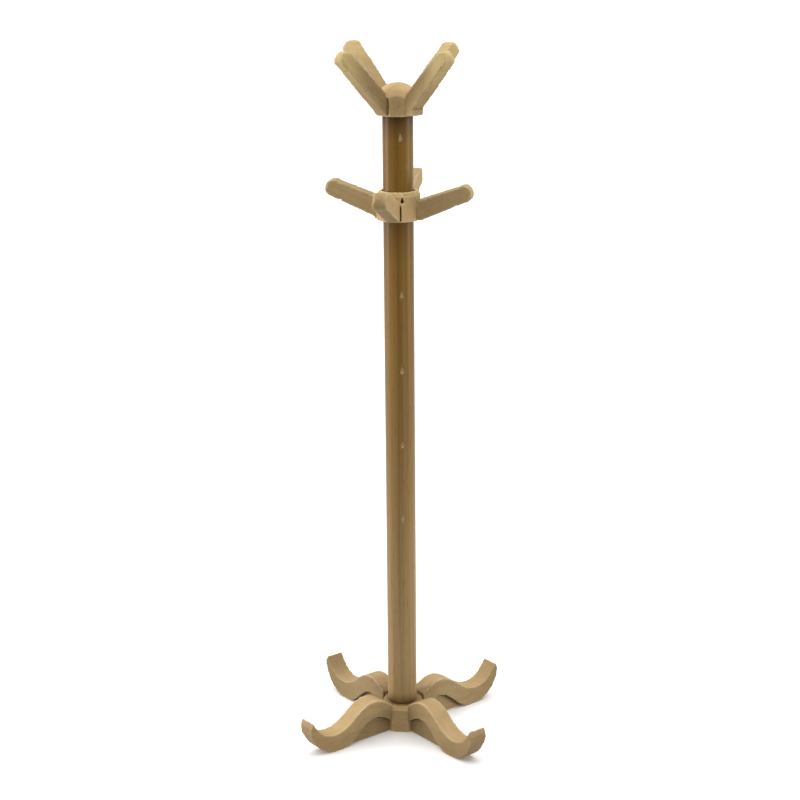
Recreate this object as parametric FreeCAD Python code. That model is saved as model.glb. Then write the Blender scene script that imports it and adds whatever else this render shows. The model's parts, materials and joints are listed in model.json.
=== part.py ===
import FreeCAD, Part
import math
import os

# Wooden mug tree: a round pole on four curled feet, a fixed crown with four rising arms, and
# a collar with four lower arms that slides along the pole and turns about it.
# Millimetres. +Z runs up the pole, the origin is on the floor under the pole's axis.
# Azimuths are in degrees from the front (-Y), positive towards the right (+X).

# --- pole -------------------------------------------------------------------------------
POLE_D = 20.0
POLE_LENGTH = 407.2          # between the base hub and the crown hub
POLE_EDGE = 0.4              # broken edge at both shoulders
TENON_D = 12.0               # turned down at both ends, glued into the hubs
TENON_LENGTH = 11.5
TENON_END_GAP = 0.5          # room for glue past the tenon's end
TENON_WALL = 2.2             # wood left between a tenon's bore and the dowels around it

HOLE_D = 2.6                 # row of shallow height marks in the pole
HOLE_DEPTH = 2.2
HOLE_COUNT = 6
HOLE_PITCH = 51.2
HOLE_TOP_DROP = 14.6         # first mark below the crown
HOLE_AZ = 17.2

# --- base -------------------------------------------------------------------------------
BASE_HUB_AF = 28.0           # across the flats of the octagon
BASE_HUB_H = 19.0
BASE_BEVEL = (1.7, 2.8)      # depth and height of the bevel on the four free sides

LEG_T = 12.8
LEG_ROOT_OVER = 1.6          # how far the leg's root stands above the hub
LEG_HUMP_R = 29.5            # where the upper edge is highest
LEG_HUMP_RISE = 6.8          # above the root
LEG_SADDLE = (61.5, 12.6)    # radius and height of the lowest place of the upper edge
LEG_TIP = (80.4, 25.8)       # upper corner of the curled tip
LEG_TIP_CUT = (1.9, 3.3)     # how far the tip's end face runs out and down
LEG_CURL = ((0.56, 0.22), (0.78, 0.51))     # the curl from the saddle to the tip, as shares
LEG_FLOOR_R = 60.0           # where the underside leaves the floor
ARCH_ROOT_H = 8.6            # the carved arch below the hump
ARCH_TOP = (29.0, 15.0)
ARCH_END_R = 56.0
ARCH_DEPTH = 3.2             # the arch is a blind relief on both faces of the leg

LEG_DOWEL_D = 4.0
LEG_DOWEL_IN_LEG = 9.0
LEG_DOWEL_UP = 4.8           # lower dowel above the floor
LEG_DOWEL_DOWN = 5.4         # upper dowel below the hub's top

SCREW_D = 4.0                # countersunk wood screw, up through the base hub into the pole
SCREW_LENGTH = 28.0
SCREW_HEAD_D = 8.0
SCREW_HEAD_H = 2.4
SCREW_SINK = 0.4             # how far the head lies inside the hub's underside
SCREW_SLOT_W = 1.0
SCREW_SLOT_L = 4.6
SCREW_SLOT_H = 1.6
SCREW_POINT_H = 4.0

# --- crown ------------------------------------------------------------------------------
CROWN_AF = 27.0
CROWN_SIDE_H = 13.6          # height of the flats
CROWN_DOME_H = 7.1
CROWN_TURN = 3.4             # set off the legs' diagonals

# --- collar -----------------------------------------------------------------------------
COLLAR_WALL = 3.5            # pole's surface to the collar's flats
COLLAR_H = 19.5
COLLAR_DROP = 67.9           # crown's underside to the collar's underside, at rest
COLLAR_BEVEL = (1.6, 2.6)    # depth and height of the bevel round its top
COLLAR_FOOT_BEVEL = (0.6, 0.8)
COLLAR_TURN = -6.2
LINER_T = 0.5                # felt sleeve that makes the collar grip the pole
LINER_INSET = 1.0            # the sleeve stops short of both faces
RUNNING_CLEARANCE = 0.05     # radial, pole to sleeve and sleeve to collar
PEG_HOLE_D = 2.2             # drop-shaped hole above the row of marks
PEG_HOLE_DOWN = 5.9          # below the collar's top
PEG_HOLE_TALL = 5.2

CROWN_Z = BASE_HUB_H + POLE_LENGTH
COLLAR_Z = CROWN_Z - COLLAR_DROP
COLLAR_AF = POLE_D + 2 * COLLAR_WALL
TENON_CLEAR_R = TENON_D / 2 + TENON_WALL

# --- arms, one set of sizes for each tier -----------------------------------------------
CROWN_ARM = {
    "flat": CROWN_AF / 2,    # radius of the hub's flat
    "thick": 9.8,
    "shift": -0.5,           # each arm is pushed to one side of its slot
    "slot_gap": 1.5,         # what is left of the slot on its other side
    "sink": 3.0,             # how deep the slot is
    "slot": (1.0, CROWN_SIDE_H - 1.6),      # height range of the slot in the hub
    "up": CROWN_SIDE_H - 6.0,               # height of the arm's middle where it leaves the hub
    "reach": 32.0,           # from the flat out to the tip's middle
    "rise": 31.5,            # and up to it
    "root_h": 10.6,
    "neck_h": 8.9,
    "tip_r": 4.7,
    "corner_r": 4.3,         # corners of the tip, seen from above
    "notch_back": 6.2,
    "notch_r": 1.0,
    "dowel_d": 3.0,
    "dowel_from": TENON_CLEAR_R,
    "dowel_in_arm": 6.5,
}
COLLAR_ARM = {
    "flat": COLLAR_AF / 2,
    "thick": 9.6,
    "shift": -0.7,
    "slot_gap": 0.8,
    "sink": 1.4,
    "slot": (0.8, COLLAR_H - 9.2),
    "up": COLLAR_H - 12.9,
    "reach": 30.5,
    "rise": 11.8,
    "root_h": 12.8,
    "neck_h": 10.6,
    "tip_r": 5.5,
    "corner_r": 2.4,
    "notch_back": 7.4,
    "notch_r": 1.0,
    "dowel_d": 3.0,
    "dowel_from": POLE_D / 2,
    "dowel_in_arm": 7.5,
}

# Where each arm points, how far its heel stands out below it, and by how much it is raised
# or cut short against its tier: all of them were fitted by hand.
CROWN_ARMS = {
    "front_left": {"az": -45.0, "heel": 0.7, "lift": 0.5, "trim": 2.2},
    "front_right": {"az": 45.0, "heel": 6.3, "lift": -0.9, "trim": 0.0},
    "back_right": {"az": 135.0, "heel": 2.5, "lift": -0.6, "trim": 0.0},
    "back_left": {"az": -135.0, "heel": 3.5, "lift": 0.7, "trim": 0.0},
}
COLLAR_ARMS = {
    "front": {"az": 0.0, "heel": 1.5, "lift": 0.6, "trim": 0.0},
    "right": {"az": 90.0, "heel": 3.7, "lift": 0.0, "trim": 0.0},
    "back": {"az": 180.0, "heel": 2.1, "lift": 3.3, "trim": 0.0},
    "left": {"az": -90.0, "heel": 1.5, "lift": 1.8, "trim": 1.0},
}
LEGS = {"front_left": -45.0, "front_right": 45.0, "back_right": 135.0, "back_left": -135.0}

SIDES = 8                    # every hub is an octagon
HALF_SIDE = math.pi / SIDES
REACH = 200.0                # longer than any arm or leg, for tools that cut right through
UP = FreeCAD.Vector(0, 0, 1)
SIDEWAYS = FreeCAD.Vector(0, 1, 0)
ORIGIN = FreeCAD.Vector(0, 0, 0)


def save(name, shape):
    """Write one sub-part."""
    shape.removeSplitter().exportStep("parts/" + name + ".step")


def place(shape, azimuth, z=0.0):
    """Turn a shape from its own frame (+X outward, +Y sideways) to an azimuth, and lift it."""
    placed = shape.copy()
    placed.rotate(ORIGIN, UP, azimuth - 90.0)
    placed.translate(FreeCAD.Vector(0, 0, z))
    return placed


def at(r, z):
    return FreeCAD.Vector(r, 0, z)


def straight(points):
    return [Part.LineSegment(at(*a), at(*b)).toShape() for a, b in zip(points, points[1:])]


def smooth(points):
    """Curve through all the points."""
    curve = Part.BSplineCurve()
    curve.interpolate([at(*p) for p in points])
    return curve.toShape()


def quarter(p, q, steps=4):
    """Curve like a quarter of an ellipse, that leaves p level and reaches q upright."""
    run, climb = q[0] - p[0], q[1] - p[1]
    turns = [k / steps * math.pi / 2 for k in range(steps + 1)]
    points = [at(p[0] + run * math.sin(a), p[1] + climb * (1 - math.cos(a))) for a in turns]
    curve = Part.BSplineCurve()
    curve.interpolate(Points=points, InitialTangent=at(1, 0), FinalTangent=at(0, 1))
    return curve.toShape()


def rise(p, q, steps=2):
    """Points from p up to q that level out at q: a quarter of a sine."""
    turns = [(k / steps, math.sin(k / steps * math.pi / 2)) for k in range(steps)]
    return [(p[0] + (q[0] - p[0]) * s, p[1] + (q[1] - p[1]) * t) for s, t in turns]


def ease(p, q, steps=4):
    """Points from p to q, level at both ends: half a cosine."""
    turns = [(k / steps, (1 - math.cos(k / steps * math.pi)) / 2) for k in range(steps)]
    return [(p[0] + (q[0] - p[0]) * s, p[1] + (q[1] - p[1]) * t) for s, t in turns]


def slab(edges, thickness, middle=0.0):
    """Extrude a closed outline in the X-Z plane to both sides of y = middle."""
    face = Part.Face(Part.Wire(Part.__sortEdges__(edges)))
    face.translate(FreeCAD.Vector(0, middle - thickness / 2, 0))
    return face.extrude(FreeCAD.Vector(0, thickness, 0))


def octagon(across_flats, height, turn, z=0.0):
    """Octagonal block with one flat square to the azimuth given by turn."""
    corner = across_flats / 2 / math.cos(HALF_SIDE)
    angles = [HALF_SIDE * (2 * k + 1) for k in range(SIDES + 1)]
    points = [FreeCAD.Vector(corner * math.cos(a), corner * math.sin(a), 0) for a in angles]
    block = Part.Face(Part.makePolygon(points)).extrude(FreeCAD.Vector(0, 0, height))
    return place(block, turn, z)


def bevelled(across_flats, height, turn, z, top, foot=None, every=1):
    """The same block with its sides bevelled at the top and foot: every side, or every second."""
    block = octagon(across_flats, height, turn, z)
    flat = across_flats / 2
    cuts = [(top, height, -1)] + ([(foot, 0.0, 1)] if foot else [])
    for (deep, tall), edge, way in cuts:
        corners = [(flat - deep, edge), (flat + deep, edge), (flat + deep, edge + 2 * tall * way)]
        wedge = slab(straight(corners + corners[:1]), across_flats)
        for k in range(0, SIDES, every):
            block = block.cut(place(wedge, turn + 360 / SIDES * k, z))
    return block


def radial_rod(diameter, start, end, tilt_deg=0.0):
    """Round rod in the X-Z plane from the point start to the radius end."""
    tilt = math.radians(tilt_deg)
    length = (end - start[0]) / math.cos(tilt)
    along = FreeCAD.Vector(math.cos(tilt), 0, math.sin(tilt))
    return Part.makeCylinder(diameter / 2, length, at(*start), along)


# --- pole and its screw -----------------------------------------------------------------
def screw():
    """Countersunk screw with a cross recess, standing point up under the base hub."""
    r = SCREW_D / 2
    head_r = SCREW_HEAD_D / 2
    top = SCREW_LENGTH
    outline = straight([(0, 0), (head_r, 0), (r, SCREW_HEAD_H), (r, top - SCREW_POINT_H), (0, top), (0, 0)])
    body = Part.Face(Part.Wire(outline)).revolve(ORIGIN, UP, 360)
    for angle in (0, 90):
        slot = Part.makeBox(SCREW_SLOT_L, SCREW_SLOT_W, SCREW_SLOT_H)
        slot.translate(FreeCAD.Vector(-SCREW_SLOT_L / 2, -SCREW_SLOT_W / 2, 0))
        slot.rotate(ORIGIN, UP, angle)
        body = body.cut(slot)
    body.translate(FreeCAD.Vector(0, 0, SCREW_SINK))
    return body


def screw_room():
    """What the screw takes out of the hub and the pole, head recess included."""
    neck_r = SCREW_D / 2
    head_r = SCREW_HEAD_D / 2
    tip_z = SCREW_SINK + SCREW_LENGTH
    head = [(0, 0), (head_r, 0), (head_r, SCREW_SINK), (neck_r, SCREW_SINK + SCREW_HEAD_H)]
    outline = straight(head + [(neck_r, tip_z - SCREW_POINT_H), (0, tip_z), (0, 0)])
    return Part.Face(Part.Wire(outline)).revolve(ORIGIN, UP, 360)


def pole():
    """Round pole with a tenon at each end and the row of height marks."""
    r = POLE_D / 2
    body = Part.makeCylinder(r, POLE_LENGTH, at(0, BASE_HUB_H))
    body = body.makeChamfer(POLE_EDGE, [e for e in body.Edges if abs(e.Length - math.pi * POLE_D) < 0.01])
    length = POLE_LENGTH + 2 * TENON_LENGTH
    body = body.fuse(Part.makeCylinder(TENON_D / 2, length, at(0, BASE_HUB_H - TENON_LENGTH)))
    for k in range(HOLE_COUNT):
        z = CROWN_Z - HOLE_TOP_DROP - k * HOLE_PITCH
        body = body.cut(place(radial_rod(HOLE_D, (r - HOLE_DEPTH, z), r + HOLE_DEPTH), HOLE_AZ))
    return body.cut(screw_room())


def tenon_bore(z, upward):
    """Blind bore for a tenon, measured from the hub face at z."""
    depth = TENON_LENGTH + TENON_END_GAP
    return Part.makeCylinder(TENON_D / 2, depth, at(0, z), UP if upward else -UP)


# --- base -------------------------------------------------------------------------------
def leg():
    """One curled foot in its own frame: a thick board with a blind arch on both faces."""
    flat = BASE_HUB_AF / 2
    root_h = BASE_HUB_H + LEG_ROOT_OVER
    hump = (LEG_HUMP_R, root_h + LEG_HUMP_RISE)
    toe = (LEG_TIP[0] + LEG_TIP_CUT[0], LEG_TIP[1] - LEG_TIP_CUT[1])
    run, climb = LEG_TIP[0] - LEG_SADDLE[0], LEG_TIP[1] - LEG_SADDLE[1]
    curl = [(LEG_SADDLE[0] + run * s, LEG_SADDLE[1] + climb * t) for s, t in LEG_CURL]
    top = rise((flat, root_h), hump) + ease(hump, LEG_SADDLE) + [LEG_SADDLE] + curl + [LEG_TIP]
    edges = [smooth(top), quarter((LEG_FLOOR_R, 0), toe)] + straight([LEG_TIP, toe])
    edges += straight([(flat, root_h), (flat, 0), (LEG_FLOOR_R, 0)])
    board = slab(edges, LEG_T)
    arch_end = (ARCH_END_R, 0)
    arch_line = rise((flat, ARCH_ROOT_H), ARCH_TOP) + ease(ARCH_TOP, arch_end) + [arch_end]
    arch = [smooth(arch_line)] + straight([(flat, ARCH_ROOT_H), (flat, 0), arch_end])
    for side in (-1, 1):
        board = board.cut(slab(arch, ARCH_DEPTH, side * (LEG_T - ARCH_DEPTH) / 2))
    for dowel in leg_dowels():
        board = board.cut(dowel)
    return board


def leg_dowels():
    heights = (LEG_DOWEL_UP, BASE_HUB_H - LEG_DOWEL_DOWN)
    end = BASE_HUB_AF / 2 + LEG_DOWEL_IN_LEG
    return [radial_rod(LEG_DOWEL_D, (TENON_CLEAR_R, z), end) for z in heights]


def base():
    hub = bevelled(BASE_HUB_AF, BASE_HUB_H, 0.0, 0.0, BASE_BEVEL, every=2)
    hub = hub.cut(tenon_bore(BASE_HUB_H, upward=False)).cut(screw_room())
    dowels = []
    for side, azimuth in LEGS.items():
        save("leg_" + side, place(leg(), azimuth))
        dowels += [place(dowel, azimuth) for dowel in leg_dowels()]
    for dowel in dowels:
        hub = hub.cut(dowel)
    save("base_hub", hub)
    save("leg_dowels", Part.makeCompound(dowels))
    save("base_screw", screw())


# --- arms -------------------------------------------------------------------------------
def slope(size):
    """Slope of an arm's middle line."""
    return math.atan2(size["rise"], size["reach"])


def arm_dowel(size):
    """Dowel along the arm's middle line, from the hub into the arm."""
    start = size["dowel_from"]
    end = size["flat"] + size["dowel_in_arm"]
    drop = (size["flat"] - start) * math.tan(slope(size))
    rod = radial_rod(size["dowel_d"], (start, size["up"] - drop), end, math.degrees(slope(size)))
    rod.translate(FreeCAD.Vector(0, size["shift"], 0))
    return rod


def arm_bar(size):
    """The arm lying level, its tip's middle over the origin: tapered, round-ended, notched."""
    thick, tip_r, neck = size["thick"], size["tip_r"], size["neck_h"] / 2
    length = REACH / 2
    spread = (size["root_h"] / 2 - neck) * length / math.hypot(size["reach"], size["rise"])
    heel = neck + spread
    bar = slab(straight([(0, -neck), (0, neck), (-length, heel), (-length, -heel), (0, -neck)]), thick)
    bar = bar.fuse(Part.makeCylinder(tip_r, thick, FreeCAD.Vector(0, -thick / 2, 0), SIDEWAYS))
    corner_r = size["corner_r"]
    plan = None
    for width, nose in ((thick, tip_r - corner_r), (thick - 2 * corner_r, tip_r)):
        box = Part.makeBox(length, width, REACH, FreeCAD.Vector(nose - length, -width / 2, -REACH / 2))
        plan = plan.fuse(box) if plan else box
    for side in (-1, 1):
        middle = FreeCAD.Vector(tip_r - corner_r, side * (thick / 2 - corner_r), -REACH / 2)
        plan = plan.fuse(Part.makeCylinder(corner_r, REACH, middle))
    notch_at = FreeCAD.Vector(-size["notch_back"], -REACH / 2, -neck - size["notch_r"] / 2)
    return bar.common(plan).cut(Part.makeCylinder(size["notch_r"], REACH, notch_at, SIDEWAYS))


def arm(size, heel, lift, trim):
    """One arm in its own frame, with the heel below it and the square root for its slot."""
    flat, thick = size["flat"], size["thick"]
    low, high = size["slot"]
    angle = slope(size)
    bar = arm_bar(size)
    bar.rotate(ORIGIN, SIDEWAYS, -math.degrees(angle))
    tip_z = size["up"] + size["rise"] + lift - trim * math.sin(angle)
    bar.translate(at(flat + size["reach"] - trim * math.cos(angle), tip_z))
    bar = bar.common(Part.makeBox(REACH, REACH, REACH, FreeCAD.Vector(flat, -REACH / 2, low)))
    middle = size["up"] + lift
    heel_r = flat + heel
    heel_z = middle + heel * math.tan(angle)
    outline = [(flat, low), (heel_r, low), (heel_r, heel_z), (flat, middle), (flat, low)]
    block = slab(straight(outline), thick)
    corner = FreeCAD.Vector(flat - size["sink"], -thick / 2, low)
    tongue = Part.makeBox(size["sink"], thick, high - low, corner)
    whole = bar.fuse([block, tongue]).removeSplitter()
    whole.translate(FreeCAD.Vector(0, size["shift"], 0))
    return whole.cut(arm_dowel(size))


def arm_slot(size):
    """Slot in the hub's flat that the arm's root sits in, with a gap left beside the arm."""
    low, high = size["slot"]
    width = size["thick"] + size["slot_gap"]
    side = size["shift"] - size["thick"] / 2
    return Part.makeBox(REACH, width, high - low, FreeCAD.Vector(size["flat"] - size["sink"], side, low))


def tier(prefix, hub, size, arms, turn, z, bore):
    """Write a hub with its arms, and the dowels that join them, all trimmed to the hub's bore."""
    dowels = []
    for side, own in arms.items():
        azimuth = own["az"] + turn
        save(prefix + "_arm_" + side, place(arm(size, own["heel"], own["lift"], own["trim"]), azimuth, z))
        dowels.append(place(arm_dowel(size), azimuth, z).cut(bore))
        hub = hub.cut(place(arm_slot(size), azimuth, z)).cut(dowels[-1])
    save(prefix + "_arm_dowels", Part.makeCompound(dowels))
    save(prefix + "_hub", hub.cut(bore))


def crown():
    """Octagonal block with a domed top that closes the pole."""
    height = CROWN_SIDE_H + CROWN_DOME_H
    block = octagon(CROWN_AF, height, CROWN_TURN, CROWN_Z)
    ball_r = ((CROWN_AF / 2) ** 2 + CROWN_DOME_H ** 2) / (2 * CROWN_DOME_H)
    block = block.common(Part.makeSphere(ball_r, at(0, CROWN_Z + height - ball_r)))
    tier("crown", block, CROWN_ARM, CROWN_ARMS, CROWN_TURN, CROWN_Z, tenon_bore(CROWN_Z, upward=True))


# --- collar -----------------------------------------------------------------------------
def peg_hole():
    """Drop-shaped hole, round below and pointed above."""
    start = POLE_D / 2
    r = PEG_HOLE_D / 2
    middle = COLLAR_H - PEG_HOLE_DOWN
    point = middle + PEG_HOLE_TALL - r
    hole = radial_rod(PEG_HOLE_D, (start, middle), COLLAR_AF)
    corners = [(-r, middle), (r, middle), (0, point), (-r, middle)]
    wedge = Part.Face(Part.makePolygon([FreeCAD.Vector(start, y, z) for y, z in corners]))
    return place(hole.fuse(wedge.extrude(FreeCAD.Vector(COLLAR_AF - start, 0, 0))), HOLE_AZ, COLLAR_Z)


def ring(inner_r, outer_r, height, z):
    return Part.makeCylinder(outer_r, height, at(0, z)).cut(Part.makeCylinder(inner_r, height, at(0, z)))


def collar():
    """Octagonal ring with a felt sleeve inside, free to slide and turn on the pole."""
    sleeve_in = POLE_D / 2 + RUNNING_CLEARANCE
    sleeve_out = sleeve_in + LINER_T
    sleeve = ring(sleeve_in, sleeve_out, COLLAR_H - 2 * LINER_INSET, COLLAR_Z + LINER_INSET)
    save("collar_liner", sleeve.cut(peg_hole()))
    block = bevelled(COLLAR_AF, COLLAR_H, COLLAR_TURN, COLLAR_Z, COLLAR_BEVEL, COLLAR_FOOT_BEVEL)
    block = block.cut(peg_hole())
    bore = Part.makeCylinder(sleeve_out + RUNNING_CLEARANCE, COLLAR_H, at(0, COLLAR_Z))
    tier("collar", block, COLLAR_ARM, COLLAR_ARMS, COLLAR_TURN, COLLAR_Z, bore)


os.makedirs("parts", exist_ok=True)
save("pole", pole())
base()
crown()
collar()
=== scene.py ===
"""Wooden mug tree: carved feet, hubs and arms on a varnished pole, built round the CAD frame.

Metres, in the frame's own axes: +Z up the pole, -Y towards the front. Azimuths are in degrees
from the front, positive towards the right.
"""

import json
import math

import bmesh
import bpy
import numpy as np
from mathutils import Euler, Matrix, Vector, noise


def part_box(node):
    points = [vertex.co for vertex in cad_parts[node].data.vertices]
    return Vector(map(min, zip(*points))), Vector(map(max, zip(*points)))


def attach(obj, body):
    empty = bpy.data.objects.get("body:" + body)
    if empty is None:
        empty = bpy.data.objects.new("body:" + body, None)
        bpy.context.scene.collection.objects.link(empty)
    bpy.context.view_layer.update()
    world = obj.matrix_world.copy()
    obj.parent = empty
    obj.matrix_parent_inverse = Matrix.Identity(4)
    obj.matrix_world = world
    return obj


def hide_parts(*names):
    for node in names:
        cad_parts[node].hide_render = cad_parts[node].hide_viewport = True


MM = 0.001

# --- camera -----------------------------------------------------------------------------
CAMERA_DISTANCE = 1.194      # along the floor, from the pole
CAMERA_HEIGHT = 0.5726
CAMERA_AZIMUTH = 7.16
CAMERA_PITCH = -15.735
CAMERA_ROLL = -0.471
CAMERA_LENS = 83.475         # lens and sensor in millimetres
CAMERA_SENSOR = 36.0
CAMERA_REACH = 100.0         # past the far edge of the floor

# --- light ------------------------------------------------------------------------------
SKY_STRENGTH = 0.42
SUN_STRENGTH = 3.05
SUN_SPREAD = 100.0           # degrees, a broad soft sun
SUN_TILT = (-8.0, -9.0)      # degrees about X and Y: a little from behind and from the left
SOFTBOX_SIZE = (0.35, 0.9)
SOFTBOX_POWER = (13.0, 11.0)
SOFTBOX_DISTANCE = 1.5
SOFTBOX_HEIGHT = 0.45
SOFTBOX_AZIMUTHS = (-84.0, 92.0)
FLOOR_SIZE = 30.0
FLOOR_TONES = ((0.94, 0.94, 0.935), (0.95, 0.95, 0.945))

# --- carving ----------------------------------------------------------------------------
VOXEL = 0.45 * MM
SOFTEN_STEPS = 5
CUT_DEPTH = 0.16 * MM        # long uneven cuts left by the knife
CUT_SIZE = (9.0 * MM, 3.4 * MM, 3.4 * MM)    # along the grain, then both ways across it
CUT_SHIFT = 17.3             # from one piece to the next, so that no two are cut alike
CHIP_DEPTH = 0.07 * MM       # short chips between the cuts
CHIP_SIZE = 1.5 * MM
CHIP_SHIFT = 5.1
RAGGED = 5.0                 # how much deeper the chips are along an edge
HUB_DEPTH = 0.7              # the hubs are cut more evenly than the rest
ARM_SLOPE = 0.6              # share of an arm's box that its middle line climbs
WEAR_AND_SHADE_STEPS = 14
WEAR_AND_SHADE_RANGE = 0.22 * MM       # how far a sharp edge stands out of its surroundings

TIP_LENGTH = 6.5 * MM        # the tips of the crown's arms are rounded by hand
TIP_BLEND = 3.0 * MM
TIP_STEPS = 18
TIP_SWELL = 0.10 * MM        # makes up for what the rounding takes off

# --- turned pole ------------------------------------------------------------------------
POLE_SIDES = 128
POLE_RINGS = 90
RING_INSET = 0.2             # of the first and the last ring, in steps between two rings
TENON_BEVEL = 0.5 * MM
SHOULDER_BEVEL = 0.4 * MM
POLE_WAVE = 0.03 * MM        # how uneven the lathe left it
WAVE_AROUND = 1.3            # how fast that changes round the pole and, per metre, up it
WAVE_UP = 9.0
MARK_SIDES = 24
MARK_POINT = 2.0             # how far a mark is drawn out above, in its radii
# a mark's cutter from its floor outwards: distance from the pole's surface, width in radii
MARK_RINGS = ((-1.5 * MM, 0.30), (-0.7 * MM, 0.85), (1.0 * MM, 1.25))
# the inner ends of the marks in the CAD pole: at least this deep under its surface, this far from
# its axis, and this far apart up the pole
MARK_DEPTH = 2.0 * MM
MARK_CLEAR = 3.0 * MM
MARK_GAP = 10.0 * MM

# --- tones of the wood ------------------------------------------------------------------
# stops of a ramp are (position, colour)
WOOD_TONES = ((0.30, (0.365, 0.246, 0.102)), (0.52, (0.435, 0.302, 0.132)), (0.74, (0.48, 0.348, 0.165)))
BAND_TONE = (0.32, 0.21, 0.085)
FIBRE_TONE = (0.29, 0.185, 0.077)
FLECK_TONE = (0.25, 0.14, 0.054)
PATCH_TONE = (0.515, 0.392, 0.20)
BLUSH_TONE = (0.46, 0.285, 0.145)
RUBBED_TONE = (0.60, 0.47, 0.25)
# painted shade in hollows and creases
PAINTED_HOLLOW_SHADE = (0.10, 0.055, 0.02)
# painted shade round the foot of the pole
FOOT_SHADE_TONE = (0.12, 0.065, 0.02)
BAND_BEND = (4.0 * MM, 4.0 * MM, 4.0 * MM)   # how far the growth bands wander
SEED_SHIFT = (0.137, 0.071, 0.053)           # between the woods of two pieces
HUB_GRAIN = {"base_hub": (1.0, 0.2, 0.0), "crown_hub": (0.0, 0.0, 1.0), "collar_hub": (1.0, -0.1, 0.0)}
TINT = {"base_hub": 1.08, "crown_hub": 1.28, "collar_hub": 1.30, "leg_front_right": 0.90,
        "leg_back_left": 0.82, "leg_back_right": 0.90}       # not every board has the same tone
# painted shade round the foot of the pole: how far out, how softly it ends, how strong
HUB_FOOT_SHADE = (12.0 * MM, 1.5 * MM, 1.0)
LEG_FOOT_SHADE = (14.0 * MM, 13.0 * MM, 0.5)
FOOT_SHADE_SHAPE = (0.84, 1.0, 0.0)               # it runs out further to the sides
# towards their outer ends the pieces change tone: from and to which distance, how much, to what
TIP_TONE = (30.0 * MM, 40.0 * MM, 0.5, (0.69, 0.53, 0.22))
TOE_TONE = (50.0 * MM, 74.0 * MM, 0.45, (0.30, 0.19, 0.08))

# the varnish, from the base hub up to the crown, painted paler and greyer towards the foot as the floor's
# reflection
POLE_TONES_AND_PAINTED_LIGHT = (
    (0.0, (0.13, 0.07, 0.024)),              # painted shadow round the foot
    (0.022, (0.35, 0.235, 0.10)),
    (0.08, (0.385, 0.262, 0.121)),
    (0.28, (0.338, 0.22, 0.088)),
    (0.49, (0.26, 0.15, 0.042)),
    (0.76, (0.23, 0.124, 0.02)),
    (0.828, (0.16, 0.082, 0.013)),           # painted shadow of the resting collar, a soft darker band
    (0.875, (0.225, 0.122, 0.017)),
    (0.96, (0.215, 0.115, 0.014)),
    (0.995, (0.10, 0.047, 0.008)),           # painted shadow under the crown
)
# tints over the varnish
STREAK_TINT = (0.62, 0.50, 0.36)
LIGHT_TINT = (1.5, 1.5, 1.35)
PORE_TINT = (0.45, 0.33, 0.22)
BARE_TONE = (0.62, 0.48, 0.27)               # of the cut wood in the marks
BARE_DEPTHS = (0.15 * MM, 0.5 * MM)          # where the bare wood begins, and where it is all bare


# --- mesh helpers -----------------------------------------------------------------------
def new_object(name, data):
    obj = bpy.data.objects.new(name, data)
    bpy.context.scene.collection.objects.link(obj)
    return obj


def applied(obj):
    """The object's mesh with its modifiers applied; the modifiers are removed."""
    graph = bpy.context.evaluated_depsgraph_get()
    mesh = bpy.data.meshes.new_from_object(obj.evaluated_get(graph))
    old = obj.data
    obj.modifiers.clear()
    obj.data = mesh
    bpy.data.meshes.remove(old)
    return mesh


def coordinates(mesh):
    flat = np.empty(len(mesh.vertices) * 3)
    mesh.vertices.foreach_get("co", flat)
    return flat.reshape(-1, 3)


def normals(mesh):
    flat = np.empty(len(mesh.vertices) * 3, np.float32)
    mesh.vertex_normals.foreach_get("vector", flat)
    return flat.reshape(-1, 3).astype(float)


def set_coordinates(mesh, points):
    mesh.vertices.foreach_set("co", points.ravel())
    mesh.update()


def edge_ends(mesh):
    """Two rows of vertex numbers: where each edge starts and where it ends."""
    ends = np.empty(len(mesh.edges) * 2, np.int64)
    mesh.edges.foreach_get("vertices", ends)
    return ends.reshape(-1, 2).T


def relaxed(points, edges, steps):
    """Points moved step by step to the mean of themselves and their neighbours' mean."""
    a, b = edges
    count = np.bincount(a, minlength=len(points)) + np.bincount(b, minlength=len(points))
    for _ in range(steps):
        total = np.empty_like(points)
        for axis in range(3):
            total[:, axis] = np.bincount(a, points[b, axis], len(points))
            total[:, axis] += np.bincount(b, points[a, axis], len(points))
        points = (points + total / count[:, None]) / 2
    return points


def noise_at(spots):
    return np.array([noise.noise(spot) for spot in spots])


def smooth_shading(mesh):
    mesh.polygons.foreach_set("use_smooth", [True] * len(mesh.polygons))
    mesh.update()


def skin(build, rings):
    """Faces from each ring of points to the next; a ring of one point is the end of a cone."""
    for below, above in zip(rings, rings[1:]):
        sides = max(len(below), len(above))
        for k in range(sides):
            n = (k + 1) % sides
            corners = [below[k % len(below)], below[n % len(below)]]
            corners += [above[n % len(above)], above[k % len(above)]]
            build.faces.new(list(dict.fromkeys(corners)))


def built_mesh(build, name):
    mesh = bpy.data.meshes.new(name)
    build.to_mesh(mesh)
    build.free()
    return mesh


# --- carving ----------------------------------------------------------------------------
def grain_turn(direction):
    """Rotation that brings the grain direction onto X."""
    return Vector(direction).normalized().rotation_difference(Vector((1, 0, 0))).to_matrix()


def softened(node):
    """An evenly meshed, softened copy of a CAD node, and the ends of its edges."""
    piece = new_object(node + "_carved", frame["nodes"][node].data.copy())
    remesh = piece.modifiers.new("remesh", "REMESH")
    remesh.mode = "VOXEL"
    remesh.voxel_size = VOXEL
    mesh = applied(piece)
    edges = edge_ends(mesh)
    set_coordinates(mesh, relaxed(coordinates(mesh), edges, SOFTEN_STEPS))
    return piece, edges


def round_tip(mesh, edges):
    """Round the outer end of an arm a good deal more than the rest of it."""
    points = coordinates(mesh)
    out = np.hypot(points[:, 0], points[:, 1])
    share = np.clip((out - out.max() + TIP_LENGTH) / TIP_BLEND, 0.0, 1.0)[:, None]
    round_points = relaxed(points, edges, TIP_STEPS) + normals(mesh) * TIP_SWELL
    set_coordinates(mesh, points + (round_points - points) * share)


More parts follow.
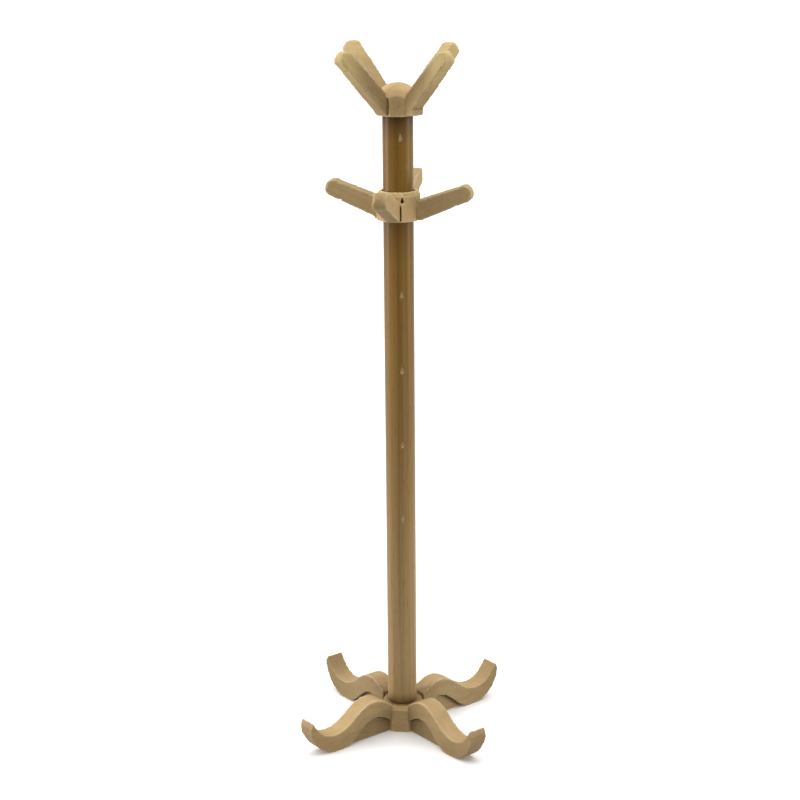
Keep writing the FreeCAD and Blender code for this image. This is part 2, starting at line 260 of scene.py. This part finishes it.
def add_wear_and_shade(mesh, edges):
    """How far each point stands out, -1 in a hollow to 1 on an edge; wear_and_shade keeps it as 0 to 1."""
    points = coordinates(mesh)
    proud = ((points - relaxed(points, edges, WEAR_AND_SHADE_STEPS)) * normals(mesh)).sum(1) / WEAR_AND_SHADE_RANGE
    wear_and_shade = np.clip(proud, -1.0, 1.0)
    # the mask for the rubbed edges and for the painted shade in the hollows
    mesh.attributes.new("wear_and_shade", "FLOAT", "POINT").data.foreach_set("value", (wear_and_shade + 1.0) / 2)
    return wear_and_shade


def knife_marked(mesh, wear_and_shade, grain, seed, depth):
    """The mesh's points, pushed in and out by long cuts along the grain and by short chips."""
    points = coordinates(mesh)
    along = points @ np.array(grain_turn(grain)).T
    cuts = CUT_DEPTH * noise_at(along / CUT_SIZE + seed * CUT_SHIFT)
    chips = CHIP_DEPTH * (1.0 + RAGGED * np.abs(wear_and_shade)) * noise_at(along / CHIP_SIZE + seed * CHIP_SHIFT)
    return points + normals(mesh) * ((cuts + chips) * depth)[:, None]


def carve(node, body, grain, seed, material, depth=1.0):
    """A softened, knife-marked piece stands for a CAD node and stays inside its box."""
    piece, edges = softened(node)
    mesh = piece.data
    if node.startswith("crown_arm_"):
        round_tip(mesh, edges)
    wear_and_shade = add_wear_and_shade(mesh, edges)
    points = knife_marked(mesh, wear_and_shade, grain, seed, depth)
    low, high = (np.array(corner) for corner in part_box(node))
    set_coordinates(mesh, np.clip(points, low, high))
    smooth_shading(mesh)
    mesh.materials.clear()
    mesh.materials.append(material)
    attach(piece, body)
    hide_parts(node)


# --- materials --------------------------------------------------------------------------
class Graph:
    """A node material under construction."""

    def __init__(self, name):
        self.material = bpy.data.materials.new(name)
        self.material.use_nodes = True
        self.tree = self.material.node_tree
        self.tree.nodes.clear()

    def add(self, kind, settings=None, **inputs):
        """Add a node. Inputs are named by socket, with _ for a space; i0, i1 name them by number."""
        node = self.tree.nodes.new("ShaderNode" + kind)
        for key, value in (settings or {}).items():
            setattr(node, key, value)
        for key, value in inputs.items():
            if key[0] == "i" and key[1:].isdigit():
                socket = node.inputs[int(key[1:])]
            else:
                socket = node.inputs[key.replace("_", " ")]
            if isinstance(value, bpy.types.NodeSocket):
                self.tree.links.new(value, socket)
            else:
                socket.default_value = value
        return node

    def ramp(self, factor, *stops):
        """Colour ramp: stops are (position, grey or colour)."""
        node = self.add("ValToRGB", Fac=factor)
        elements = node.color_ramp.elements
        while len(elements) < len(stops):
            elements.new(0.5)
        for element, (position, value) in zip(elements, stops):
            element.position = position
            element.color = (value, value, value, 1) if isinstance(value, (int, float)) else (*value, 1)
        return node.outputs["Color"]

    def mix(self, factor, a, b, how="MIX"):
        """Mix two colours."""
        settings = {"data_type": "RGBA", "blend_type": how}
        return self.add("Mix", settings, i0=factor, i6=self.rgba(a), i7=self.rgba(b)).outputs[2]

    def math(self, how, a, b=0.0):
        return self.add("Math", {"operation": how}, i0=a, i1=b).outputs[0]

    def fade(self, value, start, stop, first, last):
        """Goes from first to last while the value goes from start to stop."""
        return self.add("MapRange", i0=value, i1=start, i2=stop, i3=first, i4=last).outputs[0]

    def noise(self, vector, scale, detail=2.0, roughness=0.5):
        node = self.add("TexNoise", Vector=vector, Scale=scale, Detail=detail, Roughness=roughness)
        return node.outputs[0]

    def stretched(self, vector, scale):
        return self.add("Mapping", Vector=vector, Scale=scale).outputs[0]

    def coords(self):
        return self.add("TexCoord").outputs["Object"]

    def finish(self, bump_height, bump_strength, bump_distance, **shader):
        bump = self.add("Bump", Height=bump_height, Strength=bump_strength, Distance=bump_distance)
        node = self.add("BsdfPrincipled", Normal=bump.outputs[0], **shader)
        output = self.add("OutputMaterial")
        self.tree.links.new(node.outputs[0], output.inputs[0])
        return self.material

    @staticmethod
    def rgba(value):
        return (*value, 1.0) if isinstance(value, tuple) and len(value) == 3 else value


def grain_vector(g, grain, seed):
    """Object coordinates turned so that X runs along the grain, shifted for each piece."""
    turn = grain_turn(grain).to_euler()
    shift = tuple(seed * step for step in SEED_SHIFT)
    return g.add("Mapping", Vector=g.coords(), Rotation=turn, Location=shift).outputs[0]


def away_from_axis(g, shape=(1.0, 1.0, 0.0)):
    """Distance from the pole's axis."""
    flat = g.add("VectorMath", {"operation": "MULTIPLY"}, i0=g.coords(), i1=shape).outputs[0]
    return g.add("VectorMath", {"operation": "LENGTH"}, i0=flat).outputs["Value"]


def grown_wood(g, along, fibres):
    """The wood as it grew: broad tones, wavy growth bands, dark fibres and ray flecks."""
    long_grain = g.stretched(along, (0.10, 1.0, 1.0))
    base = g.ramp(g.noise(long_grain, scale=70.0, detail=3.0), *WOOD_TONES)
    bend = g.noise(long_grain, scale=110.0)
    bent = g.add("VectorMath", {"operation": "MULTIPLY_ADD"}, i0=bend, i1=BAND_BEND, i2=along)
    bands = g.add("TexWave", {"bands_direction": "Y"}, Vector=bent.outputs[0], Scale=130.0, Distortion=2.5,
                  Detail=2.0).outputs[1]
    base = g.mix(g.ramp(bands, (0.0, 0.0), (0.55, 0.05), (1.0, 0.26)), base, BAND_TONE)
    base = g.mix(g.ramp(fibres, (0.35, 0.30), (0.60, 0.0)), base, FIBRE_TONE)
    flecks = g.noise(g.stretched(along, (0.16, 1.0, 0.6)), scale=620.0, detail=1.0)
    return g.mix(g.ramp(flecks, (0.66, 0.0), (0.72, 0.45)), base, FLECK_TONE)


def handled_wood(g, along, base, patches):
    """What carving and use add: pale patches, a blush and rubbed edges; and painted shade in the hollows and
    creases.
    """
    base = g.mix(g.ramp(patches, (0.42, 0.0), (0.70, 0.30)), base, PATCH_TONE)
    blush = g.noise(along, scale=75.0, detail=3.0, roughness=0.6)
    base = g.mix(g.ramp(blush, (0.44, 0.0), (0.66, 0.45)), base, BLUSH_TONE)
    wear_and_shade = g.add("Attribute", {"attribute_name": "wear_and_shade"}).outputs["Fac"]
    base = g.mix(g.ramp(wear_and_shade, (0.57, 0.0), (0.92, 0.60)), base, RUBBED_TONE)
    # painted shade in the hollows and creases
    return g.mix(g.ramp(wear_and_shade, (0.12, 0.95), (0.46, 0.0)), base, PAINTED_HOLLOW_SHADE)


def foot_shaded_wood(g, base, patches, foot_shade):
    """Painted shade near the pole, broken up by the patches."""
    radius, blend, strength = foot_shade
    near = g.fade(away_from_axis(g, FOOT_SHADE_SHAPE), radius, radius + blend, strength, 0.0)
    near = g.math("MULTIPLY", near, g.ramp(patches, (0.25, 1.0), (0.75, 0.5)))
    return g.mix(near, base, FOOT_SHADE_TONE)


def carved_wood(node, grain, seed, foot_shade=None, end=None):
    """Bare, hand-cut pale wood with its own tint, with painted shade near the pole or toned at its end."""
    g = Graph(node + "_wood")
    along = grain_vector(g, grain, seed)
    fibres = g.noise(g.stretched(along, (0.035, 1.0, 1.0)), scale=1500.0, detail=3.0, roughness=0.6)
    patches = g.noise(along, scale=120.0, detail=4.0, roughness=0.6)
    base = handled_wood(g, along, grown_wood(g, along, fibres), patches)
    if foot_shade:
        # painted shade round the foot of the pole
        base = foot_shaded_wood(g, base, patches, foot_shade)
    if end:
        start, stop, share, tone = end
        base = g.mix(g.fade(away_from_axis(g), start, stop, 0.0, share), base, tone)
    base = g.mix(1.0, base, (TINT.get(node, 1.0),) * 3, "MULTIPLY")
    nicks = g.noise(g.stretched(along, (0.35, 1.0, 1.0)), scale=900.0, roughness=0.7)
    height = g.math("ADD", g.math("MULTIPLY", fibres, 0.6), g.math("MULTIPLY", nicks, 0.5))
    height = g.math("ADD", height, g.math("MULTIPLY", patches, 0.8))
    rough = g.math("ADD", g.math("MULTIPLY", fibres, 0.20), 0.52)
    return g.finish(height, bump_strength=0.55, bump_distance=0.4 * MM, Base_Color=base, Roughness=rough,
                    Specular_IOR_Level=0.30)


def pole_wood(low, high, radius):
    """Varnished dowel: golden brown above, painted paler and greyer towards the foot as the floor's
    reflection, bare in the marks.
    """
    g = Graph("pole_wood")
    along = grain_vector(g, (0, 0, 1), 3.0)
    up = g.add("SeparateXYZ", Vector=g.coords()).outputs[2]
    # the floor's reflection and the shadows at the foot, under the crown and below the collar are painted in
    # by height
    base = g.ramp(g.fade(up, low, high, 0.0, 1.0), *POLE_TONES_AND_PAINTED_LIGHT)
    streaks = g.noise(g.stretched(along, (0.012, 1.0, 1.0)), scale=420.0, detail=3.0, roughness=0.6)
    base = g.mix(g.ramp(streaks, (0.35, 0.55), (0.56, 0.0)), base, STREAK_TINT, "MULTIPLY")
    light = g.noise(g.stretched(along, (0.008, 1.0, 1.0)), scale=260.0)
    base = g.mix(g.ramp(light, (0.52, 0.0), (0.75, 0.45)), base, LIGHT_TINT, "MULTIPLY")
    pores = g.noise(g.stretched(along, (0.05, 1.0, 1.0)), scale=1900.0)
    base = g.mix(g.ramp(pores, (0.62, 0.0), (0.70, 0.5)), base, PORE_TINT, "MULTIPLY")
    shallow, deep = BARE_DEPTHS
    bare = g.fade(away_from_axis(g), radius - deep, radius - shallow, 1.0, 0.0)
    base = g.mix(bare, base, BARE_TONE)
    height = g.math("ADD", g.math("MULTIPLY", streaks, 0.5), g.math("MULTIPLY", pores, -0.5))
    rough = g.math("ADD", g.math("MULTIPLY", streaks, 0.14), 0.34)
    return g.finish(height, bump_strength=0.25, bump_distance=0.2 * MM, Base_Color=base, Roughness=rough,
                    Specular_IOR_Level=0.14, Coat_Weight=0.06, Coat_Roughness=0.22)


def dowel_wood():
    """Plain birch dowel with broad tones and fine dark fibres."""
    g = Graph("dowel_wood")
    coords = g.coords()
    broad = g.noise(coords, scale=300.0, detail=3.0)
    base = g.ramp(broad, (0.3, (0.52, 0.38, 0.22)), (0.7, (0.66, 0.52, 0.34)))
    fibres = g.noise(coords, scale=2400.0)
    base = g.mix(g.ramp(fibres, (0.35, 0.4), (0.6, 0.0)), base, (0.38, 0.26, 0.14))
    return g.finish(fibres, bump_strength=0.4, bump_distance=0.2 * MM, Base_Color=base, Roughness=0.62)


def screw_steel():
    """Zinc-plated steel with fine turning marks and a few dull spots."""
    g = Graph("screw_steel")
    coords = g.coords()
    spots = g.noise(coords, scale=700.0, detail=3.0)
    base = g.ramp(spots, (0.3, (0.42, 0.40, 0.36)), (0.7, (0.66, 0.64, 0.58)))
    lines = g.noise(g.stretched(coords, (0.2, 0.2, 1.0)), scale=5200.0, detail=1.0)
    rough = g.math("ADD", g.math("MULTIPLY", spots, 0.3), 0.22)
    return g.finish(lines, bump_strength=0.3, bump_distance=0.1 * MM, Base_Color=base, Roughness=rough,
                    Metallic=1.0)


def liner_felt():
    """Thin brown felt."""
    g = Graph("liner_felt")
    fuzz = g.noise(g.coords(), scale=3200.0, detail=4.0, roughness=0.7)
    base = g.ramp(fuzz, (0.3, (0.055, 0.035, 0.02)), (0.7, (0.13, 0.09, 0.055)))
    return g.finish(fuzz, bump_strength=0.8, bump_distance=0.3 * MM, Base_Color=base, Roughness=0.95,
                    Sheen_Weight=0.3)


def floor_white():
    """Matt white, hardly uneven."""
    g = Graph("floor_white")
    tone = g.ramp(g.noise(g.coords(), scale=3.0), (0.3, FLOOR_TONES[0]), (0.7, FLOOR_TONES[1]))
    return g.finish(tone, bump_strength=0.0, bump_distance=0.1 * MM, Base_Color=tone, Roughness=0.9,
                    Specular_IOR_Level=0.1)


# --- pole -------------------------------------------------------------------------------
def pole_points():
    """The vertices of the CAD pole, and how far each is from its axis."""
    points = np.array([v.co for v in frame["nodes"]["pole"].data.vertices])
    return points, np.hypot(points[:, 0], points[:, 1])


def pole_span():
    """The heights between which the pole shows: above the base hub and below the crown."""
    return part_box("base_hub")[1].z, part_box("crown_hub")[0].z


def pole_holes():
    """Where the marks are in the CAD pole: (height, azimuth in radians, radius) of each."""
    points, out = pole_points()
    foot, top = pole_span()
    shown = (points[:, 2] > foot + MM) & (points[:, 2] < top - MM)
    marks = points[shown & (out < out.max() - MARK_DEPTH) & (out > MARK_CLEAR)]
    order = marks[np.argsort(marks[:, 2])]
    groups = np.split(order, np.flatnonzero(np.diff(order[:, 2]) > MARK_GAP) + 1)
    found = []
    for group in groups:
        low, high = group.min(0), group.max(0)
        middle = (low + high) / 2
        found.append((middle[2], math.atan2(middle[0], -middle[1]), (high[2] - low[2]) / 2))
    return found


def pole_profile():
    """The pole's rings from its foot up, each a (radius, height), and its full radius."""
    points, out = pole_points()
    low, high = points[:, 2].min(), points[:, 2].max()
    foot, top = pole_span()
    tenon = out[points[:, 2] < foot - MM].max()
    full = out.max()
    step = (top - foot) / (POLE_RINGS + 2 * RING_INSET)
    profile = [(0.0, low), (tenon - TENON_BEVEL, low), (tenon, low + TENON_BEVEL), (tenon, foot)]
    profile += [(full - SHOULDER_BEVEL, foot)]
    profile += [(full, foot + step * (k + RING_INSET)) for k in range(POLE_RINGS + 1)]
    profile += [(full - SHOULDER_BEVEL, top)]
    profile += [(tenon, top), (tenon, high - TENON_BEVEL), (tenon - TENON_BEVEL, high), (0.0, high)]
    return profile, full


def turned(profile, full):
    """Mesh lathed from a profile, a little uneven where it has its full radius."""
    build = bmesh.new()
    rings = []
    for r, z in profile:
        ring = []
        for k in range(POLE_SIDES if r else 1):
            angle = 2 * math.pi * k / POLE_SIDES
            across = Vector((math.cos(angle), math.sin(angle), 0))
            spot = across * WAVE_AROUND + Vector((0, 0, z * WAVE_UP))
            wave = POLE_WAVE * (noise.noise(spot) - 1.0) if r == full else 0.0
            ring.append(build.verts.new(across * (r + wave) + Vector((0, 0, z))))
        rings.append(ring)
    skin(build, rings)
    return built_mesh(build, "pole_turned")


def mark_cutter(height, azimuth, r, full):
    """Drop-shaped cutter for one mark: round below, drawn out to a point above."""
    outward = Vector((math.sin(azimuth), -math.cos(azimuth), 0))
    side = Vector((math.cos(azimuth), math.sin(azimuth), 0))
    build = bmesh.new()
    rings = []
    for depth, scale in MARK_RINGS:
        ring = []
        for k in range(MARK_SIDES):
            angle = 2 * math.pi * k / MARK_SIDES
            tall = 1.0 + MARK_POINT * max(0.0, math.sin(angle)) ** 3
            place = outward * (full + depth) + side * (r * scale * math.cos(angle))
            ring.append(build.verts.new(place + Vector((0, 0, height + r * scale * tall * math.sin(angle)))))
        rings.append(ring)
    skin(build, rings)
    build.faces.new(rings[0][::-1])
    build.faces.new(rings[-1])
    bmesh.ops.recalc_face_normals(build, faces=build.faces)
    return new_object("mark_cutter", built_mesh(build, "mark_cutter"))


def make_pole(material):
    """Lathed pole with both tenons, faintly uneven, and the row of marks cut into it."""
    profile, full = pole_profile()
    piece = new_object("pole_turned", turned(profile, full))
    cutters = [mark_cutter(*hole, full) for hole in pole_holes()]
    for cutter in cutters:
        cut = piece.modifiers.new("mark", "BOOLEAN")
        cut.object = cutter
        cut.solver = "EXACT"
    mesh = applied(piece)
    for cutter in cutters:
        bpy.data.objects.remove(cutter)
    smooth_shading(mesh)
    mesh.materials.append(material)
    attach(piece, "stand")
    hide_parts("pole")


# --- object -----------------------------------------------------------------------------
def middle_of(node):
    return sum(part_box(node), Vector()) / 2


def carve_hub(node, body, seed):
    grain = HUB_GRAIN[node]
    # the base hub takes the painted shade round the foot of the pole
    wood = carved_wood(node, grain, seed, foot_shade=HUB_FOOT_SHADE if node == "base_hub" else None)
    carve(node, body, grain, seed, wood, HUB_DEPTH)


def carve_leg(node, body, seed):
    """A foot's grain runs level, straight out from the pole."""
    middle = middle_of(node)
    grain = (middle.x, middle.y, 0)
    # each foot takes the painted shade near the pole
    carve(node, body, grain, seed, carved_wood(node, grain, seed, foot_shade=LEG_FOOT_SHADE, end=TOE_TONE))


def carve_arm(node, body, seed):
    """An arm's grain runs out and up with its middle line."""
    low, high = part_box(node)
    middle = middle_of(node)
    run = math.hypot(middle.x, middle.y)
    grain = (middle.x / run, middle.y / run, (high.z - low.z) * ARM_SLOPE / run)
    wood = carved_wood(node, grain, seed, end=TIP_TONE if node.startswith("crown_") else None)
    carve(node, body, grain, seed, wood)


def make_object():
    """Every wooden piece, carved or turned, and the finish of the CAD pieces that stay."""
    foot, top = pole_span()
    make_pole(pole_wood(foot, top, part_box("pole")[1].x))
    dowels = dowel_wood()
    finishes = {"leg_dowels": dowels, "crown_arm_dowels": dowels, "collar_arm_dowels": dowels,
                "base_screw": screw_steel(), "collar_liner": liner_felt()}
    seed = 1
    for body, nodes in frame["record"]["behaviour"]["bodies"].items():
        for node in nodes:
            seed += 1
            if node in finishes:
                materials = frame["nodes"][node].data.materials
                materials.clear()
                materials.append(finishes[node])
            elif node.endswith("_hub"):
                carve_hub(node, body, seed)
            elif node.startswith("leg_"):
                carve_leg(node, body, seed)
            elif "_arm_" in node:
                carve_arm(node, body, seed)


# --- stage ------------------------------------------------------------------------------
def around(azimuth, distance, height):
    angle = math.radians(azimuth)
    return Vector((math.sin(angle) * distance, -math.cos(angle) * distance, height))


def make_floor():
    mesh = bpy.data.meshes.new("floor")
    h = FLOOR_SIZE / 2
    mesh.from_pydata([(-h, -h, 0), (h, -h, 0), (h, h, 0), (-h, h, 0)], [], [(0, 1, 2, 3)])
    mesh.materials.append(floor_white())
    floor = new_object("floor", mesh)
    floor.visible_diffuse = False        # it would light the feet from below more than a real one


def make_sky():
    """An even white sky and a broad soft sun."""
    world = bpy.data.worlds.new("sky")
    world.use_nodes = True
    background = world.node_tree.nodes["Background"]
    background.inputs["Color"].default_value = (1.0, 1.0, 1.0, 1.0)
    background.inputs["Strength"].default_value = SKY_STRENGTH
    bpy.context.scene.world = world
    sun = bpy.data.lights.new("sun", "SUN")
    sun.energy = SUN_STRENGTH
    sun.angle = math.radians(SUN_SPREAD)
    new_object("sun", sun).rotation_euler = Euler([math.radians(a) for a in (*SUN_TILT, 0.0)])


def make_softboxes():
    """Two tall softboxes, one on each side, for the highlights down the varnish."""
    aim = Vector((0, 0, SOFTBOX_HEIGHT))
    for number, (azimuth, power) in enumerate(zip(SOFTBOX_AZIMUTHS, SOFTBOX_POWER)):
        light = bpy.data.lights.new(f"softbox_{number}", "AREA")
        light.shape = "RECTANGLE"
        light.size, light.size_y = SOFTBOX_SIZE
        light.energy = power
        box = new_object(f"softbox_{number}", light)
        box.location = around(azimuth, SOFTBOX_DISTANCE, SOFTBOX_HEIGHT)
        box.rotation_euler = (aim - box.location).to_track_quat("-Z", "Y").to_euler()


def make_camera():
    data = bpy.data.cameras.new("camera")
    data.lens = CAMERA_LENS
    data.sensor_width = CAMERA_SENSOR
    data.clip_end = CAMERA_REACH
    camera = new_object("camera", data)
    place = Matrix.Translation(around(CAMERA_AZIMUTH, CAMERA_DISTANCE, CAMERA_HEIGHT))
    turn = Matrix.Rotation(math.radians(CAMERA_AZIMUTH), 4, "Z")
    tilt = Matrix.Rotation(math.radians(90.0 + CAMERA_PITCH), 4, "X")
    roll = Matrix.Rotation(math.radians(CAMERA_ROLL), 4, "Z")
    camera.matrix_world = place @ turn @ tilt @ roll
    bpy.context.scene.camera = camera
    bpy.context.scene.view_settings.view_transform = "Standard"


# --- the build --------------------------------------------------------------------------
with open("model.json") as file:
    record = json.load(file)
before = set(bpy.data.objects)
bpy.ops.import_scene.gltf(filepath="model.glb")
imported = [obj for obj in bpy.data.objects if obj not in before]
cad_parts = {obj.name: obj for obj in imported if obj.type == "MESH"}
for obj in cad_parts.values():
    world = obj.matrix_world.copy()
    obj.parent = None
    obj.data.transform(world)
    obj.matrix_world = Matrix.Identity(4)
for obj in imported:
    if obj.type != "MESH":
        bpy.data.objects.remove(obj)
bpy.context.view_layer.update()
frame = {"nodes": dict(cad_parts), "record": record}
make_floor()
make_sky()
make_softboxes()
make_camera()
make_object()
